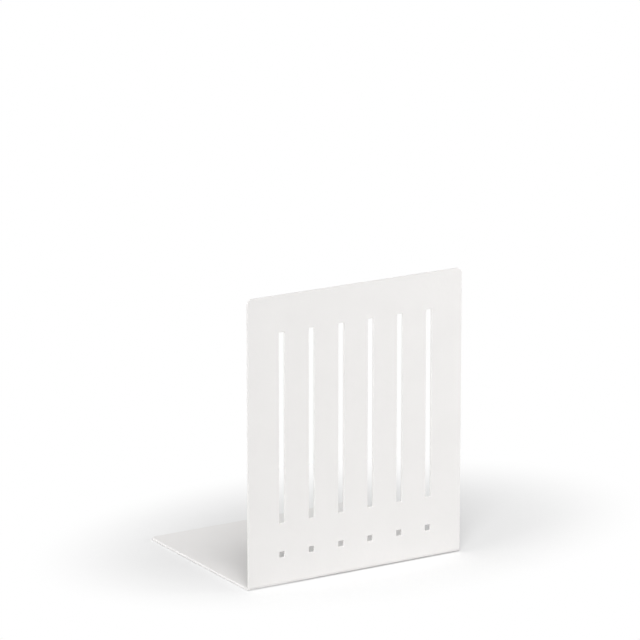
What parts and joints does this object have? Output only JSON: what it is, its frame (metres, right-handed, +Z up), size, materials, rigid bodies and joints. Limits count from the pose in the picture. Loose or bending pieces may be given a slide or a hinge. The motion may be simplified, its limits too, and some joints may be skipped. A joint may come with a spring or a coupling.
{
  "type": "bookend",
  "caption": "White coated steel bookend folded from one sheet into an L, its upright pierced by tall narrow slots above small square holes, on thin non-slip pads.",
  "frame": {"origin": "on the shelf, below the middle of the footprint", "axes": "+X along the width, to the right for someone who faces the upright's outer side; +Y from the upright towards the base's rear edge, under the books; +Z up"},
  "size_m": [0.127, 0.1016, 0.1524],
  "materials": {
    "white_powder_coat": "satin powder coat on sheet steel, with a faint orange peel",
    "pad_rubber": "matt, closed-cell non-slip rubber"
  },
  "bodies": {
    "root": {"bent_sheet": "white_powder_coat", "pad_front_left": "pad_rubber", "pad_front_right": "pad_rubber", "pad_rear_left": "pad_rubber", "pad_rear_right": "pad_rubber"}
  },
  "joints": []
}
